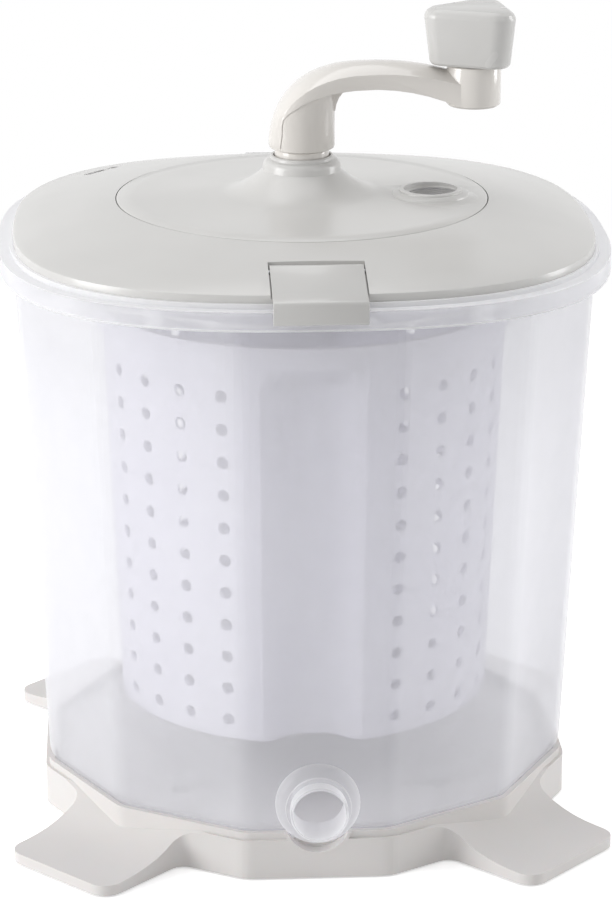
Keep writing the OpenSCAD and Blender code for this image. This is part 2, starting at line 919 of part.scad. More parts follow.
// Mound round the inlet: a low ring on a shoulder that flares out
module inlet_mound() {
    edge = inlet_r + inlet_t;
    foot_z = hatch_top(inlet_y + 22) - 1.6;
    rotate_extrude()
        polygon(concat(
            [[0, foot_z - 3], [edge + 4.3 + inlet_flare, foot_z - 3]],
            [
                for (j = [0 : 6])
                [edge + 4.3 + inlet_flare * (1 - j / 6), foot_z + (inlet_z - 3.2 - foot_z) * pow(j / 6, 1.6)]
            ],
            [
                [edge + 3.9, inlet_z - 2.3], [edge + 2.8, inlet_z - 1.6], [edge + 0.4, inlet_z - 1.3],
                [edge, inlet_z - 1.2], [edge, inlet_z - 0.5], [edge - 0.5, inlet_z], [0, inlet_z]
            ]
        ));
}

module hatch_gasket() {
    color(rubber)
        translate([0, 0, hatch_z - hatch_gasket_t])
            difference() {
                cylinder(r = hatch_r - 1.5, h = hatch_gasket_t);
                translate([0, 0, -over])
                    cylinder(r = ledge_in + 1, h = hatch_gasket_t + 2 * over);
            }
}

module crank_bush() {
    color(crank_colour)
        rotate_extrude()
            polygon([
                [shaft_r + fit, bush_low_z], [bush_low_r, bush_low_z], [bush_low_r, bush_step_z],
                [bush_top_r, bush_step_z], [bush_top_r, post_z - 0.8], [bush_top_r - 0.5, post_z - play],
                [shaft_r + fit, post_z - play]
            ]);
}

module crank_shaft() {
    color(steel)
        difference() {
            translate([0, 0, ring_web_z + 1])
                cylinder(r = shaft_r, h = post_z + shaft_in - 2.5 - ring_web_z);
            translate([0, 0, ring_pin_z])
                rotate([90, 0, 0])
                    cylinder(r = ring_pin_r + seat, h = 3 * shaft_r, center = true);
        }
}

// Curved arm: one stack of sections that bends from upright at the post to level at its crown
function arm_out(t, a) = arm_x - a * pow(cos(t), arm_curve);

function arm_up(t, top) = arm_start_z + (top - arm_start_z) * sin(t);

// Height of the arm's underside over a distance from the axis
function arm_low(x) =
    x < arm_x ? arm_start_z + (crown_z - arm_t - arm_start_z)
        * sqrt(max(0, 1 - pow((arm_x - x) / (arm_x + post_r - arm_under_in), 2 / arm_curve)))
    : crown_z - arm_t - arm_under_drop * pow(x - arm_x + 3, 2);

// Half width of the arm: just proud of the post, then narrower towards the boss
function arm_half(x) =
    x < 0 ? sqrt(max(0.01, post_r * post_r - x * x)) + arm_foot_proud
        + (arm_proud - arm_foot_proud) * ease(1 + x / (0.6 * post_r))
    : x < arm_x ? arm_w / 2 + (post_r + arm_proud - arm_w / 2) * (1 - ease(x / arm_x))
    : arm_w / 2 + (arm_boss_w - arm_w) / 2 * (x - arm_x) / (crank_r - arm_x);

// One section: two lower corners, two upper edges and the arch between them
function arm_section(low, edge, top) =
    let (w = arm_half(edge[0]), low_w = arm_half(low[0]))
    concat(
        [[low[0], low_w, low[1]]],
        [
            for (u = [1 : -0.25 : -1])
            [edge[0] + (top[0] - edge[0]) * (1 - u * u), u * w, edge[1] + (top[1] - edge[1]) * (1 - u * u)]
        ],
        [[low[0], -low_w, low[1]]]
    );

function arm_bend(t) =
    let (inward = 5 * (1 - ease((t - 10) / 25)))
    [
        [arm_out(t, arm_x + post_r - arm_under_in) + inward, arm_up(t, crown_z - arm_t)],
        [arm_out(t, arm_x + post_r - arm_edge_in), arm_up(t, crown_z)],
        [arm_out(t, arm_x + post_r + 0.4), arm_up(t, crown_z + arm_arch)]
    ];

module arm_band() {
    tip = crank_r - boss_r / 2;
    loft(concat(
        [for (t = [0 : 7.5 : 90]) let (b = arm_bend(t)) arm_section(b[0], b[1], b[2])],
        [
            for (j = [1 : 5])
            let (
                x = arm_x + (tip - arm_x) * j / 5,
                edge_z = crown_z - arm_edge_drop * pow(x - arm_x, 2),
                top_z = crown_z + arm_arch - arm_top_drop * pow(x - arm_x, 2)
            )
            arm_section([x, arm_low(x)], [x, edge_z], [x, top_z])
        ]
    ));
}

module crank_arm() {
    color(crank_colour)
        difference() {
            union() {
                arm_band();
                intersection() {
                    rotate_extrude()
                        polygon([
                            [0, post_z], [post_r - 1.6, post_z], [post_r - 0.4, post_z + 0.5],
                            [post_r, post_z + 1.8], [post_r, crown_z], [0, crown_z]
                        ]);
                    rotate([90, 0, 0])
                        linear_extrude(3 * post_r, center = true)
                            polygon(concat(
                                [[-post_r - over, post_z - over], [-post_r - over, arm_start_z + 1]],
                                [
                                    for (t = [0 : 7.5 : 75])
                                    let (b = arm_bend(t))
                                    [(b[0][0] + b[1][0]) / 2, max(arm_start_z + 1, (b[0][1] + b[1][1]) / 2)]
                                ],
                                [[post_r + 6, crown_z - arm_t / 2], [post_r + 6, post_z - over]]
                            ));
                }
                arm_web();
                translate([crank_r, 0, 0])
                    rotate_extrude()
                        polygon([
                            [0, boss_low], [boss_r - 1.2, boss_low], [boss_r, boss_low + 1.2],
                            [boss_r, boss_top - 0.6], [boss_r - 0.6, boss_top], [0, boss_top]
                        ]);
            }
            translate([0, 0, post_z - over])
                cylinder(r = shaft_r + seat, h = shaft_in + over);
            translate([crank_r, 0, boss_low - over]) {
                cylinder(r = knob_pin_r + seat, h = boss_top);
                cylinder(r = knob_pin_head + 0.4, h = 4 + over);
            }
        }
}

// Web under the arm, beside the post, with a hollowed lower edge
module arm_web() {
    low = crown_z - 22;
    tip = post_r + 15;
    rotate([90, 0, 0])
        linear_extrude(arm_w * 0.4, center = true)
            polygon(concat(
                [[post_r - 2, arm_low(post_r) + 1], [post_r - 2, low], [post_r - 0.2, low]],
                [
                    for (t = [15 : 15 : 90])
                    [tip - (tip - post_r) * cos(t), low + (arm_low(tip) + 1.6 - low) * sin(t)]
                ],
                [[tip, arm_low(tip) + 2.5]]
            ));
}

module knob_pin() {
    color(steel)
        translate([crank_r, 0, 0]) {
            translate([0, 0, boss_low + 0.8])
                cylinder(r = knob_pin_head, h = 3.2);
            translate([0, 0, boss_low + 2])
                cylinder(r = knob_pin_r, h = knob_z + knob_h * 0.7 - boss_low - 2);
        }
}

// Three-lobed knob, wider at its top
module crank_knob() {
    lobe = (knob_w - 2 * knob_lobe_r) / (cos(knob_turn - 180) + cos(knob_turn + 120));
    color(knob_colour)
        translate([crank_r, 0, knob_z])
            difference() {
                hull() {
                    for (k = [0 : 2])
                        rotate(knob_turn + 120 * k) {
                            translate([lobe - knob_taper, 0, 0])
                                cylinder(r = knob_lobe_r - 2.4, h = 1, $fn = 32);
                            translate([lobe - knob_taper, 0, 1.6])
                                cylinder(r = knob_lobe_r - 0.9, h = 1, $fn = 32);
                            translate([lobe, 0, knob_h - 5])
                                cylinder(r = knob_lobe_r, h = 1, $fn = 32);
                            translate([lobe, 0, knob_h - 2.2])
                                cylinder(r = knob_lobe_r - 1.2, h = 0.5, $fn = 32);
                            translate([lobe - 1.4, 0, knob_h - 0.5])
                                cylinder(r = knob_lobe_r - 2.8, h = 0.5, $fn = 32);
                        }
                }
                translate([0, 0, -over])
                    cylinder(r = knob_pin_r + fit, h = knob_h * 0.7 + over + 0.5);
            }
}

// Angle in degrees between the radius to a point on an involute and the radius to its start
function inv(r, base) = let (a = acos(min(1, base / r))) tan(a) * 180 / PI - a;

// Outline of a spur gear with involute flanks
function gear_points(teeth, add, ded, slack) =
    let (
        r = gear_m * teeth / 2,
        base = r * cos(gear_pa),
        tip = r + add,
        root = r - ded,
        start = max(base, root),
        half = 90 / teeth + slack / r * 180 / PI + inv(r, base),
        radii = [root, for (j = [0 : 3]) start + (tip - start) * j / 3]
    )
    [
        for (k = [0 : teeth - 1])
        let (mid = k * 360 / teeth)
        each concat(
            [for (j = [0 : 4]) let (a = mid - half + inv(max(radii[j], start), base)) [radii[j] * cos(a), radii[j] * sin(a)]],
            [for (j = [4 : -1 : 0]) let (a = mid + half - inv(max(radii[j], start), base)) [radii[j] * cos(a), radii[j] * sin(a)]]
        )
    ];

module pinion(bore) {
    linear_extrude(gear_w)
        difference() {
            polygon(gear_points(sun_teeth, addendum, dedendum, -backlash));
            circle(bore);
        }
}

module ring_gear() {
    color(gear_colour)
        difference() {
            union() {
                translate([0, 0, gear_z])
                    linear_extrude(ring_web_z - gear_z)
                        difference() {
                            circle(ring_out);
                            polygon(gear_points(ring_teeth, dedendum, addendum, backlash));
                        }
                translate([0, 0, ring_web_z - 0.01])
                    cylinder(r = ring_out, h = web_t + 0.01);
                translate([0, 0, ring_web_z])
                    cylinder(r = hub_r, h = hub_top - ring_web_z);
            }
            translate([0, 0, ring_web_z - over])
                cylinder(r = shaft_r + seat, h = 20);
            translate([0, 0, ring_pin_z])
                rotate([90, 0, 0])
                    cylinder(r = ring_pin_r + seat, h = 2 * hub_r + over, center = true);
        }
}

module ring_pin() {
    color(steel)
        translate([0, 0, ring_pin_z])
            rotate([90, 0, 0])
                cylinder(r = ring_pin_r, h = 2 * hub_r - 0.6, center = true);
}

module planet(k) {
    color(gear_colour)
        rotate(120 * k)
            translate([planet_d, 0, gear_z])
                pinion(planet_pin_r + fit);
}

module planet_gear_1() {
    planet(0);
}

module planet_gear_2() {
    planet(1);
}

module planet_gear_3() {
    planet(2);
}

module sun_gear() {
    color(gear_colour)
        translate([0, 0, gear_z])
            pinion(drive_r + seat);
}

// Cup under the hatch that holds the gears
module gear_housing() {
    color(cover_colour)
        difference() {
            union() {
                translate([0, 0, housing_z])
                    cylinder(r = housing_out, h = bush_low_z + 2 - housing_z);
                for (k = [0 : 2])
                    rotate(lug_a + 120 * k)
                        translate([0, 0, lug_z - 3]) {
                            translate([lug_d, 0, 0])
                                cylinder(r = lug_r, h = 3);
                            translate([housing_in + 1, -lug_r, 0])
                                cube([lug_d - housing_in - 1, 2 * lug_r, 3]);
                        }
                for (k = [0 : 2])
                    rotate(120 * k)
                        translate([planet_d, 0, housing_z])
                            cylinder(r = planet_pin_r + 3, h = gear_z - play - housing_z);
            }
            difference() {
                translate([0, 0, housing_z + housing_floor])
                    cylinder(r = housing_in, h = 60);
                for (k = [0 : 2])
                    rotate(120 * k)
                        translate([planet_d, 0, housing_z])
                            cylinder(r = planet_pin_r + 3, h = gear_z - play - housing_z);
            }
            translate([0, 0, housing_z - over])
                cylinder(r = drive_r + bush_wall + seat, h = 10);
            for (k = [0 : 2]) {
                rotate(lug_a + 120 * k)
                    translate([lug_d, 0, lug_z - 10])
                        cylinder(r = 2.1, h = 11);
                rotate(120 * k)
                    translate([planet_d, 0, housing_z + 1])
                        cylinder(r = planet_pin_r + seat, h = 20);
            }
        }
}

module planet_pins() {
    color(steel)
        for (k = [0 : 2])
            rotate(120 * k)
                translate([planet_d, 0, housing_z + 1])
                    cylinder(r = planet_pin_r, h = gear_top - 0.5 - housing_z - 1);
}

module housing_screws() {
    color(steel)
        for (k = [0 : 2])
            rotate(lug_a + 120 * k)
                translate([lug_d, 0, lug_z - 5.2]) {
                    cylinder(r = 3.4, h = 2.2);
                    cylinder(r = 1.6, h = housing_screw_l);
                }
}

module drive_bush() {
    color(gear_colour)
        translate([0, 0, drive_bush_low])
            difference() {
                union() {
                    cylinder(r = drive_r + bush_wall, h = gear_z - play - drive_bush_low);
                    translate([0, 0, housing_z + housing_floor - drive_bush_low])
                        cylinder(r = drive_r + bush_wall + 1.6, h = 1.6);
                }
                translate([0, 0, -over])
                    cylinder(r = drive_r + fit, h = 30);
            }
}

// Shaft that carries the sun gear down to a six-sided end
module drive_shaft() {
    color(steel)
        difference() {
            union() {
                translate([0, 0, hex_low])
                    cylinder(r = hex_w / 2 / cos(30), h = hex_top - hex_low, $fn = 6);
                translate([0, 0, hex_top - 0.01])
                    cylinder(r = drive_r, h = gear_top - hex_top);
            }
            translate([0, 0, clip_z])
                difference() {
                    cylinder(r = drive_r + over, h = clip_t);
                    cylinder(r = drive_r - groove_d, h = clip_t);
                }
        }
}

module retaining_clip() {
    color(steel)
        translate([0, 0, clip_z + 0.05])
            difference() {
                cylinder(r = drive_r + 2.6, h = clip_t - 0.1);
                translate([0, 0, -over])
                    cylinder(r = drive_r - groove_d + seat, h = 4);
                translate([0, -1.6, -over])
                    cube([12, 3.2, 4]);
            }
}

// Perforated basket with four flutes
module basket_shell() {
    loft([
        basket_ring(basket_foot_r - 4, flute_d, basket_z),
        basket_ring(basket_foot_r - 1, flute_d, basket_z + 1.4),
        basket_ring(basket_foot_r, flute_d, basket_z + 4),
        basket_ring(basket_top_r - 0.4, flute_d, rim_z - runout),
        basket_ring(basket_top_r, 0, rim_z),
        basket_ring(basket_top_r + rim_out, 0, rim_z + 0.8),
        basket_ring(basket_top_r + rim_out, 0, basket_top_z),
        basket_ring(basket_top_r - basket_t, 0, basket_top_z),
        basket_ring(basket_top_r - basket_t, 0, rim_z),
        basket_ring(basket_top_r - basket_t - 0.4, flute_d, rim_z - runout),
        basket_ring(basket_foot_r - basket_t, flute_d, basket_z + 7),
        basket_ring(basket_foot_r - basket_t - 3, flute_d, floor_top + 1.5),
        basket_ring(basket_foot_r - basket_t - 7, flute_d, floor_top - 1),
        basket_ring(basket_foot_r - basket_t - 7, flute_d, basket_z)
    ], closed = true);
    translate([0, 0, basket_z + 0.5])
        linear_extrude(floor_top - basket_z - 0.5)
            polygon(flat_ring(basket_ring(basket_foot_r - 6, flute_d, 0)));
}

module basket() {
    rows = [for (j = [0 : hole_rows - 1]) hole_low_z + (hole_top_z - hole_low_z) * j / (hole_rows - 1)];
    color(basket_colour)
        difference() {
            union() {
                basket_shell();
                translate([0, 0, hub_low])
                    cylinder(r = hub_boss_r, h = floor_top - hub_low - 1);
            }
            for (q = [0 : 3], c = hole_columns, z = rows)
                rotate(90 * q + 45 + c)
                    translate([basket_foot_r - 8, 0, z])
                        rotate([0, 90, 0])
                            cylinder(r = hole_r, h = 22, $fn = 24);
            for (d = [56, 72, 88], k = [0 : 11])
                rotate(30 * k + 15)
                    translate([d, 0, basket_z - over])
                        cylinder(r = 3, h = basket_floor_t + 2 * over, $fn = 24);
            translate([0, 0, hub_low - over])
                cylinder(r = hub_bush_r + seat, h = 30);
            column_screw_places(basket_z - over)
                cylinder(r = screw_r + 0.2, h = basket_floor_t + 2 * over);
        }
}

module column_screw_places(z) {
    for (k = [0 : 2])
        rotate(120 * k + 30)
            translate([column_screw_d, 0, z])
                children();
}

// Hollow column that takes the drive from above to the basket's floor
module centre_column() {
    t = column_t;
    color(basket_colour)
        difference() {
            union() {
                rotate_extrude()
                    polygon([
                        [column_foot_r, floor_top], [column_foot_r, floor_top + column_foot_t - 1],
                        [column_foot_r - 1, floor_top + column_foot_t], [column_r, floor_top + column_foot_t + 2],
                        [column_r - 2.4, floor_top + 10], [column_top_r, column_top - 6],
                        [column_top_r - 2, column_top - 1.5], [column_top_r - 4, column_top],
                        [0, column_top], [0, column_top - 22], [column_top_r - t - 4, column_top - 22],
                        [column_top_r - t, column_top - 28], [column_r - 2.4 - t, floor_top + 10],
                        [column_r - 2.4 - t, floor_top]
                    ]);
                column_screw_places(floor_top + 0.4)
                    cylinder(r = 4.6, h = column_boss_h);
            }
            translate([0, 0, column_top - 18])
                cylinder(r = (hex_w / 2 + hex_gap) / cos(30), h = 20, $fn = 6);
            column_screw_places(floor_top - over)
                cylinder(r = screw_r + seat, h = column_boss_h);
        }
}

module hub_bush() {
    z = spindle_boss_z + washer_t + seat;
    color(gear_colour)
        rotate_extrude()
            polygon([
                [spindle_r + fit, z], [hub_bush_r + 4, z], [hub_bush_r + 4, hub_low], [hub_bush_r, hub_low],
                [hub_bush_r, floor_top + 12], [spindle_r + fit, floor_top + 12]
            ]);
}

module column_screws() {
    color(steel) {
        column_screw_places(basket_z - 2.2)
            cylinder(r = 4, h = 2.2);
        column_screw_places(basket_z - 1)
            cylinder(r = screw_r, h = column_screw_l);
    }
}

base();
foot_pads();
base_screws();
tub();
spindle_pin();
thrust_washer();
cover();
cover_gasket();
latch_pins();
latch_front();
latch_rear();
hatch_lid();
hatch_gasket();
crank_bush();
gear_housing();
planet_pins();
housing_screws();
drive_bush();
crank_arm();
crank_shaft();
ring_gear();
ring_pin();
knob_pin();
crank_knob();
planet_gear_1();
planet_gear_2();
planet_gear_3();
sun_gear();
drive_shaft();
retaining_clip();
basket();
centre_column();
hub_bush();
column_screws();
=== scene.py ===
import math

import bmesh
import bpy
from mathutils import Matrix, Vector


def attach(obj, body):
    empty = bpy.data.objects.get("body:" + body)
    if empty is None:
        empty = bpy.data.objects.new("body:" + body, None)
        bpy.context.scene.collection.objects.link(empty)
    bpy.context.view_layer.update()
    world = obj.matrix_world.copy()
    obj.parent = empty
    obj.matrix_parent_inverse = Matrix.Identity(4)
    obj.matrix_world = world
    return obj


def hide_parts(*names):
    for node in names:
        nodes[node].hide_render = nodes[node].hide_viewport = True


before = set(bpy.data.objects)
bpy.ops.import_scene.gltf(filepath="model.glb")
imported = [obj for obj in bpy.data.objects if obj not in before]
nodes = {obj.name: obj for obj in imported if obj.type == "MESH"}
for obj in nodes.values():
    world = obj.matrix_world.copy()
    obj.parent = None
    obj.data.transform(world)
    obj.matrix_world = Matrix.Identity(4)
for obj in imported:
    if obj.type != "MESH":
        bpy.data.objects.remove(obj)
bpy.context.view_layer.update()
bpy.context.scene.view_settings.view_transform = "Standard"
print("frame loaded:", len(nodes), "nodes")


def linear(hexColour):  # sRGB hex to the linear colour that shaders want
    channels = [int(hexColour[i:i + 2], 16) / 255 for i in (1, 3, 5)]
    return [c / 12.92 if c <= 0.04045 else ((c + 0.055) / 1.055) ** 2.4 for c in channels] + [1.0]


def addNode(tree, kind, values=None, links=None, **settings):
    made = tree.nodes.new(kind)
    for name, value in settings.items():
        setattr(made, name, value)
    for socket, value in (values or {}).items():
        made.inputs[socket].default_value = value
    for socket, source in (links or {}).items():
        tree.links.new(source, made.inputs[socket])
    return made


def newMaterial(name):
    material = bpy.data.materials.new(name)
    material.use_nodes = True
    material.node_tree.nodes.clear()
    return material, material.node_tree


def objectPlace(tree):
    return addNode(tree, "ShaderNodeTexCoord").outputs["Object"]


# Noise whose features are about this many millimetres wide
def noiseOf(tree, place, sizeMm, detail):
    return addNode(tree, "ShaderNodeTexNoise", {"Scale": 1000 / sizeMm, "Detail": detail},
                   {"Vector": place}).outputs["Fac"]


def bumpOf(tree, height, strength, depth):
    return addNode(tree, "ShaderNodeBump", {"Strength": strength, "Distance": depth},
                   {"Height": height}).outputs["Normal"]


def remap(tree, value, toLow, toHigh, fromLow=0.0, fromHigh=1.0, **settings):
    limits = {"From Min": fromLow, "From Max": fromHigh, "To Min": toLow, "To Max": toHigh}
    return addNode(tree, "ShaderNodeMapRange", limits, {"Value": value}, **settings).outputs["Result"]


# Each term is a number or the output of another node
def maths(tree, operation, *terms, clamp=False):
    made = addNode(tree, "ShaderNodeMath", operation=operation, use_clamp=clamp)
    for index, term in enumerate(terms):
        if isinstance(term, (int, float)):
            made.inputs[index].default_value = term
        else:
            tree.links.new(term, made.inputs[index])
    return made.outputs[0]


def mixShaders(tree, share, first, second):
    mixed = addNode(tree, "ShaderNodeMixShader", links={1: first, 2: second})
    if isinstance(share, float):
        mixed.inputs["Fac"].default_value = share
    else:
        tree.links.new(share, mixed.inputs["Fac"])
    return mixed.outputs["Shader"]


# What all moulded plastics share; depths are in metres
mould = {
    "toneBand": (0.3, 0.7),  # noise values between which the tone drifts
    "grainDepth": 0.0002,
    "rougher": 0.05,
    "smoother": 0.04,
    "coatRoughness": 0.1,
    "scatterDepth": 0.004,
}


# A tone that drifts slightly, the fine grain of a spark-eroded mould, and roughness that
# varies with handling
def mouldedPlastic(name, look):
    material, tree = newMaterial(name)
    place = objectPlace(tree)
    drift = noiseOf(tree, place, look["driftMm"], 2.0)
    tone = addNode(tree, "ShaderNodeValToRGB", links={"Fac": drift})
    for stop, position, colour in zip(tone.color_ramp.elements, mould["toneBand"], ("shade", "colour")):
        stop.position, stop.color = position, linear(look[colour])
    rough = remap(tree, drift, look["roughness"] - mould["smoother"], look["roughness"] + mould["rougher"])
    grain = bumpOf(tree, noiseOf(tree, place, look["grainMm"], 3.0), look["grain"], mould["grainDepth"])
    surface = addNode(tree, "ShaderNodeBsdfPrincipled",
                      {"IOR": look["ior"], "Coat Weight": look.get("coat", 0.0),
                       "Coat Roughness": mould["coatRoughness"],
                       "Subsurface Weight": look.get("subsurface", 0.0),
                       "Subsurface Scale": mould["scatterDepth"]},
                      {"Base Color": tone.outputs["Color"], "Roughness": rough, "Normal": grain})
    surface = surface.outputs["BSDF"]
    if "through" in look:  # thin natural mouldings pass some light on to what lies behind
        passed = addNode(tree, "ShaderNodeBsdfTranslucent", links={"Color": tone.outputs["Color"]})
        surface = mixShaders(tree, look["through"], surface, passed.outputs["BSDF"])
    addNode(tree, "ShaderNodeOutputMaterial", links={"Surface": surface})
    return material


plasticLooks = {
    # ABS with a fine satin texture: soft wide highlights on the dome
    "coverAbs": {
        "colour": "#CFCECC", "shade": "#CBCAC8", "driftMm": 70, "grainMm": 1.1, "grain": 0.03,
        "roughness": 0.24, "ior": 1.53},
    # the latch is the same ABS from a better polished mould; its colour is painted darker than the cover's,
    # with the shade that falls on its downward front flap
    "latchAbsPaintedShade": {
        "colour": "#C2C1BF", "shade": "#BEBDBB", "driftMm": 40, "grainMm": 1.1, "grain": 0.02,
        "roughness": 0.22, "ior": 1.53, "coat": 0.4},
    # warm white ABS of the crank, glossier than the cover
    "crankAbs": {
        "colour": "#DEDAD5", "shade": "#DAD6D1", "driftMm": 50, "grainMm": 1.3, "grain": 0.02,
        "roughness": 0.17, "ior": 1.53, "coat": 0.5},
    # cooler grey ABS knob
    "knobAbs": {
        "colour": "#CBCAC8", "shade": "#C7C6C4", "driftMm": 40, "grainMm": 1.1, "grain": 0.04,
        "roughness": 0.26, "ior": 1.53},
    # polypropylene base: waxy, with a matt grain
    "basePolypropylene": {
        "colour": "#DAD7D5", "shade": "#D6D3D1", "driftMm": 80, "grainMm": 1.4, "grain": 0.08,
        "roughness": 0.45, "ior": 1.49, "subsurface": 0.05},
    # white polypropylene basket, glossy and thin enough to glow
    "basketPolypropylene": {
        "colour": "#F2F1F7", "shade": "#EFEEF5", "driftMm": 90, "grainMm": 1.4, "grain": 0.02,
        "roughness": 0.22, "ior": 1.49, "coat": 0.3, "through": 0.38},
    # natural acetal gears, slippery and slightly yellow
    "gearAcetal": {
        "colour": "#E9E5D6", "shade": "#E2DECC", "driftMm": 30, "grainMm": 0.8, "grain": 0.04,
        "roughness": 0.38, "ior": 1.48},
    "sealSilicone": {
        "colour": "#A9A9A7", "shade": "#9F9F9D", "driftMm": 30, "grainMm": 0.9, "grain": 0.12,
        "roughness": 0.62, "ior": 1.43},
    "footRubber": {
        "colour": "#7B7B7A", "shade": "#6F6F6E", "driftMm": 25, "grainMm": 0.9, "grain": 0.2,
        "roughness": 0.75, "ior": 1.52},
}
materials = {name: mouldedPlastic(name, look) for name, look in plasticLooks.items()}

tubLook = {
    "colour": "#F0F0F1",  # natural polypropylene is milky
    "clear": "#FEFEFF",  # tint of the light that passes
    "alpha": 0.32,  # share of light that one skin stops, seen face on
    "edgeAlpha": 0.60,
    "edgeBlend": 0.35,
    # height in millimetres and how much of the denser look it gets: the rim and the lower
    # edge of the flange are thick, so they gather light
    "denser": [(322.9, 0.0), (323.1, 1.0), (323.9, 1.0), (324.1, 0.0), (333.4, 0.0), (333.7, 1.0)],
    "denserAlpha": 0.62,
    "cloudMm": 45,
    "cloud": 0.015,
    "shadow": 0.30,  # a milky wall scatters forward, so its shadow is weaker than its look
    "roughness": 0.28,
    "ior": 1.49,
    "glow": 0.45,
    "grainMm": 1.6,
    "grain": 0.05,
}


# How much of the denser look each height gets, along the object's own Z
def heightShare(tree, place, stops):
    low, high = stops[0][0] - 1, stops[-1][0] + 1
    height = addNode(tree, "ShaderNodeSeparateXYZ", links={"Vector": place})
    share = remap(tree, height.outputs["Z"], 0.0, 1.0, low / 1000, high / 1000)
    ramp = addNode(tree, "ShaderNodeValToRGB", links={"Fac": share})
    elements = ramp.color_ramp.elements
    while len(elements) < len(stops):
        elements.new(0.5)
    for element, (z, amount) in zip(elements, stops):
        element.position, element.color = (z - low) / (high - low), (amount, amount, amount, 1.0)
    return ramp.outputs["Color"]


# Frosted polypropylene lets shapes through softly, glows in the light and is denser edge on
def frostedPolypropylene(name, look):
    material, tree = newMaterial(name)
    place = objectPlace(tree)
    facing = addNode(tree, "ShaderNodeLayerWeight", {"Blend": look["edgeBlend"]})
    skin = remap(tree, facing.outputs["Facing"], look["alpha"], look["edgeAlpha"])
    cloud = remap(tree, noiseOf(tree, place, look["cloudMm"], 2.0), -look["cloud"], look["cloud"],
                  *mould["toneBand"])
    clouded = maths(tree, "ADD", skin, cloud)
    thick = heightShare(tree, place, look["denser"])
    alpha = maths(tree, "MULTIPLY_ADD", thick, look["denserAlpha"], clouded, clamp=True)
    ray = addNode(tree, "ShaderNodeLightPath")
    stopped = maths(tree, "MULTIPLY", alpha, remap(tree, ray.outputs["Is Shadow Ray"], 1.0, look["shadow"]))

    grain = bumpOf(tree, noiseOf(tree, place, look["grainMm"], 3.0), look["grain"], mould["grainDepth"])
    colour = linear(look["colour"])
    shell = addNode(tree, "ShaderNodeBsdfPrincipled",
                    {"Base Color": colour, "Roughness": look["roughness"], "IOR": look["ior"]},
                    {"Normal": grain})
    inside = addNode(tree, "ShaderNodeBsdfTranslucent", {"Color": colour})
    milky = mixShaders(tree, look["glow"], shell.outputs["BSDF"], inside.outputs["BSDF"])
    clear = addNode(tree, "ShaderNodeBsdfTransparent", {"Color": linear(look["clear"])})
    surface = mixShaders(tree, stopped, clear.outputs["BSDF"], milky)
    addNode(tree, "ShaderNodeOutputMaterial", links={"Surface": surface})
    return material


materials["tubFrosted"] = frostedPolypropylene("tubFrosted", tubLook)

steelLook = {"colour": "#C9CACC", "lineMm": 0.6, "stretch": 0.08, "roughness": (0.22, 0.42), "grain": 0.08,
             "grainDepth": 0.0001}


# Stainless steel, drawn and lightly brushed
def brushedStainless(name, look):
    material, tree = newMaterial(name)
    drawn = addNode(tree, "ShaderNodeMapping", {"Scale": (1.0, 1.0, look["stretch"])},
                    {"Vector": objectPlace(tree)})
    lines = noiseOf(tree, drawn.outputs["Vector"], look["lineMm"], 4.0)
    shader = addNode(tree, "ShaderNodeBsdfPrincipled",
                     {"Base Color": linear(look["colour"]), "Metallic": 1.0},
                     {"Roughness": remap(tree, lines, *look["roughness"]),
                      "Normal": bumpOf(tree, lines, look["grain"], look["grainDepth"])})
    addNode(tree, "ShaderNodeOutputMaterial", links={"Surface": shader.outputs["BSDF"]})
    return material


materials["stainless"] = brushedStainless("stainless", steelLook)
print("materials made:", len(materials))

finishes = {
    "base": "basePolypropylene", "foot_pads": "footRubber", "base_screws": "stainless",
    "tub": "tubFrosted", "spindle_pin": "stainless", "thrust_washer": "stainless",
    "cover": "coverAbs", "cover_gasket": "sealSilicone", "latch_pins": "stainless",
    # the latches get the ABS whose colour holds painted shade
    "latch_front": "latchAbsPaintedShade", "latch_rear": "latchAbsPaintedShade",
    "hatch_lid": "coverAbs", "hatch_gasket": "sealSilicone", "crank_bush": "crankAbs",
    "gear_housing": "coverAbs", "planet_pins": "stainless", "housing_screws": "stainless",
    "drive_bush": "gearAcetal", "crank_arm": "crankAbs", "crank_shaft": "stainless",
    "ring_gear": "gearAcetal", "ring_pin": "stainless", "knob_pin": "stainless", "crank_knob": "knobAbs",
    "planet_gear_1": "gearAcetal", "planet_gear_2": "gearAcetal", "planet_gear_3": "gearAcetal",
    "sun_gear": "gearAcetal", "drive_shaft": "stainless", "retaining_clip": "stainless",
    "basket": "basketPolypropylene", "centre_column": "basketPolypropylene",
    "hub_bush": "gearAcetal", "column_screws": "stainless",
}
# Real mouldings have no sharp edge: millimetres of rounding, by node
softEdges = {
    "base": 1.0, "latch_front": 0.9, "latch_rear": 0.9, "crank_arm": 1.1, "crank_knob": 0.8,
    "gear_housing": 0.5, "crank_bush": 0.5, "centre_column": 0.6, "hatch_lid": 0.5,
}
# Angles in degrees between two faces
edgeRules = {"flatUnder": 0.2, "roundedOver": 34, "smoothUnder": 32, "addedSmoothUnder": 30}
weldMm = 0.02
roundingSteps = 3


def finishNode(name, materialName):
    piece = nodes[name]
    piece.data.materials.clear()
    piece.data.materials.append(materials[materialName])
    weld = piece.modifiers.new("joinSkins", "WELD")
    weld.merge_threshold = weldMm / 1000
    if name in softEdges:
        flat = piece.modifiers.new("mergeFlats", "DECIMATE")
        flat.decimate_type, flat.angle_limit = "DISSOLVE", math.radians(edgeRules["flatUnder"])
        soft = piece.modifiers.new("softEdge", "BEVEL")
        soft.width, soft.segments = softEdges[name] / 1000, roundingSteps
        soft.limit_method, soft.angle_limit = "ANGLE", math.radians(edgeRules["roundedOver"])
        soft.use_clamp_overlap = True
    smoothUnder(piece, edgeRules["smoothUnder"])


